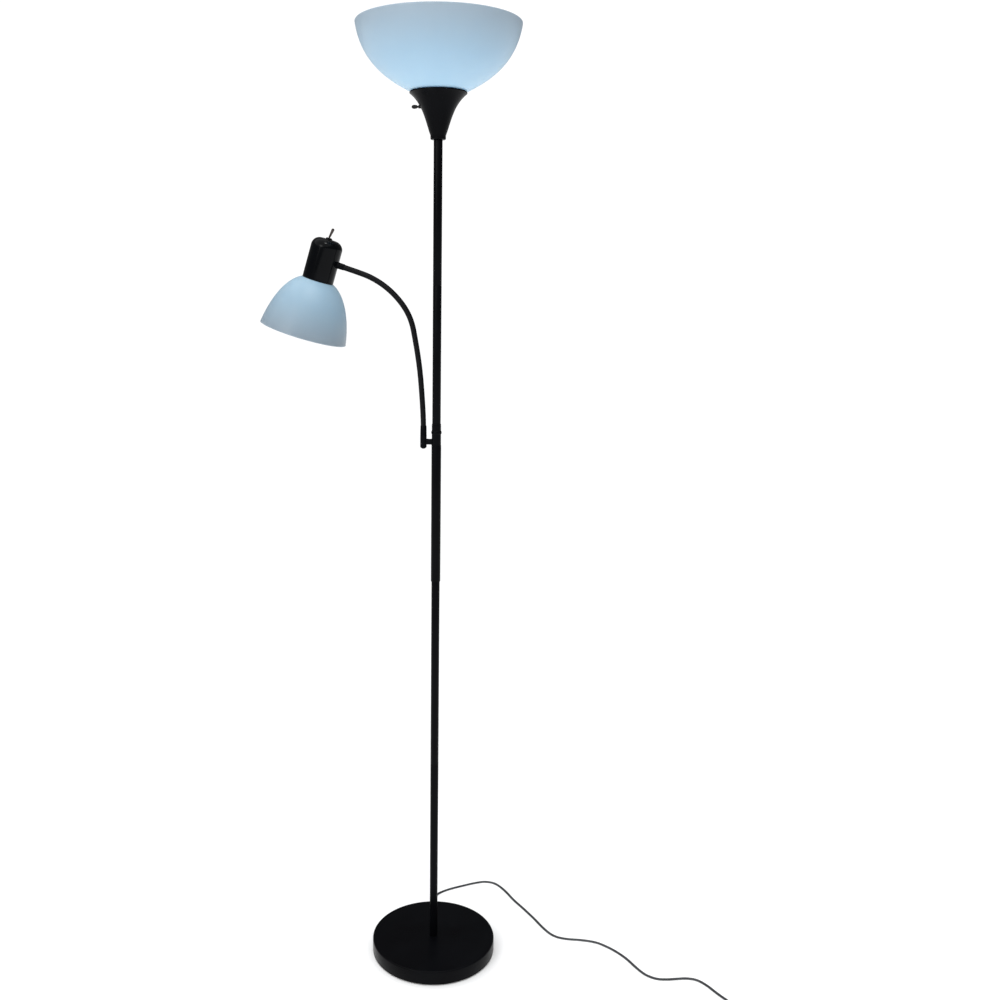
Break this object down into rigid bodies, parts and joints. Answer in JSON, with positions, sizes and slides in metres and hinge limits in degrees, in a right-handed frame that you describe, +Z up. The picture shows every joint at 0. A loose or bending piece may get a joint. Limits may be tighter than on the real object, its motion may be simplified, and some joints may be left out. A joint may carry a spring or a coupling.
{
  "type": "torchiere floor lamp",
  "caption": "Tall floor lamp: round weighted base, slim pole, upward bowl shade on a flared cup, and a gooseneck reading light with a bell shade.",
  "frame": {"origin": "on the pole's axis at the underside of the base", "axes": "+Z up along the pole, -X towards the reading light's arm; the cord leaves the back of the base, towards +Y"},
  "size_m": [0.9887, 0.4504, 1.8034],
  "materials": {
    "black_enamel": "semi-gloss black enamel on steel",
    "black_gloss_plastic": "gloss black moulded ABS",
    "black_phenolic": "satin black phenolic",
    "black_pvc": "matt black PVC",
    "wire_insulation": "PVC-insulated flex",
    "gooseneck": "black enamel on wound steel strip",
    "zinc_steel": "zinc plated",
    "brass": "plain brass",
    "key_metal": "dark nickel plate",
    "frosted_shade": "frosted translucent polypropylene, bluish white",
    "frosted_glass": "frosted bulb glass",
    "cement": "cast cement",
    "foam_pad": "closed-cell foam"
  },
  "bodies": {
    "lamp": {"base_pad": "foam_pad", "base_weight": "cement", "base_cover": "black_enamel", "base_nipple": "zinc_steel", "base_washer": "zinc_steel", "base_nut": "zinc_steel", "strain_relief": "black_pvc", "base_lead": "wire_insulation", "pole_tube_1": "black_enamel", "pole_tube_2": "black_enamel", "pole_tube_3": "black_enamel", "pole_tube_4": "black_enamel", "pole_tube_5": "black_enamel", "pole_nipples": "zinc_steel", "pole_wire": "wire_insulation", "arm_coupling": "black_enamel", "arm_stub": "black_enamel", "arm_elbow": "black_enamel", "elbow_cap": "black_enamel", "cup": "black_enamel", "cup_nipple": "zinc_steel", "cup_locknut": "zinc_steel", "bowl_seat": "zinc_steel", "bowl_holder": "black_phenolic", "bowl_shell": "brass", "bowl_contact": "brass", "bowl_bulb_cap": "zinc_steel", "bowl_bulb_glass": "frosted_glass", "bowl_shade": "frosted_shade", "bowl_shade_ring": "black_phenolic", "bowl_switch": "black_phenolic", "cord_tube": "black_pvc", "cord_coil": "black_pvc", "cord_tie": "black_pvc", "cord_plug": "black_pvc", "plug_blades": "brass"},
    "arm": {"swivel_nut": "zinc_steel", "arm_ferrule": "black_enamel", "neck_link_1": "gooseneck"},
    "neck_2": {"neck_link_2": "gooseneck"},
    "neck_3": {"neck_link_3": "gooseneck"},
    "neck_4": {"neck_link_4": "gooseneck"},
    "neck_5": {"neck_link_5": "gooseneck"},
    "neck_6": {"neck_link_6": "gooseneck"},
    "neck_7": {"neck_link_7": "gooseneck"},
    "head": {"neck_link_8": "gooseneck", "head_ferrule": "black_enamel", "head_locknut": "zinc_steel", "head_housing": "black_gloss_plastic", "head_holder": "black_phenolic", "head_shell": "brass", "head_contact": "brass", "head_bulb_cap": "zinc_steel", "head_bulb_glass": "frosted_glass", "head_shade": "frosted_shade", "head_shade_ring": "black_phenolic", "head_switch": "black_phenolic", "head_switch_nut": "black_enamel"},
    "head_key": {"head_switch_key": "key_metal"},
    "bowl_knob": {"bowl_switch_knob": "black_phenolic"}
  },
  "joints": [
    {"name": "arm_swing", "type": "hinge", "parent": "lamp", "child": "arm", "pos_m": [-0.025, 0, 1.076], "axis": [0, 0, 1], "range_deg": [-110, 110]},
    {"name": "neck_lower_bend", "type": "hinge", "parent": "arm", "child": "neck_2", "pos_m": [-0.0265, 0, 1.12497], "axis": [0, -1, 0], "range_deg": [-4, 8]},
    {"name": "neck_lower_bend_2", "type": "hinge", "parent": "neck_2", "child": "neck_3", "pos_m": [-0.03013, 0, 1.17383], "axis": [0, -1, 0], "range_deg": [-4, 8]},
    {"name": "neck_lower_bend_3", "type": "hinge", "parent": "neck_3", "child": "neck_4", "pos_m": [-0.0361, 0, 1.22246], "axis": [0, -1, 0], "range_deg": [-4, 8]},
    {"name": "neck_upper_bend", "type": "hinge", "parent": "neck_4", "child": "neck_5", "pos_m": [-0.04482, 0, 1.27067], "axis": [0, -1, 0], "range_deg": [-8, 12]},
    {"name": "neck_upper_bend_2", "type": "hinge", "parent": "neck_5", "child": "neck_6", "pos_m": [-0.06459, 0, 1.31508], "axis": [0, -1, 0], "range_deg": [-8, 12]},
    {"name": "neck_upper_bend_3", "type": "hinge", "parent": "neck_6", "child": "neck_7", "pos_m": [-0.09925, 0, 1.34945], "axis": [0, -1, 0], "range_deg": [-8, 12]},
    {"name": "neck_upper_bend_4", "type": "hinge", "parent": "neck_7", "child": "head", "pos_m": [-0.14264, 0, 1.37179], "axis": [0, -1, 0], "range_deg": [-8, 12]},
    {"name": "head_switch_turn", "type": "hinge", "parent": "head", "child": "head_key", "pos_m": [-0.21109, 0, 1.4164], "axis": [0.2924, 0, 0.9563], "continuous": true},
    {"name": "bowl_switch_turn", "type": "hinge", "parent": "lamp", "child": "bowl_knob", "pos_m": [-0.03, 0, 1.6645], "axis": [-1, 0, 0], "continuous": true}
  ],
  "couplings": [
    {"joint": "neck_lower_bend_2", "follows": "neck_lower_bend", "ratio": 1},
    {"joint": "neck_lower_bend_3", "follows": "neck_lower_bend", "ratio": 1},
    {"joint": "neck_upper_bend_2", "follows": "neck_upper_bend", "ratio": 1},
    {"joint": "neck_upper_bend_3", "follows": "neck_upper_bend", "ratio": 1},
    {"joint": "neck_upper_bend_4", "follows": "neck_upper_bend", "ratio": 1}
  ]
}
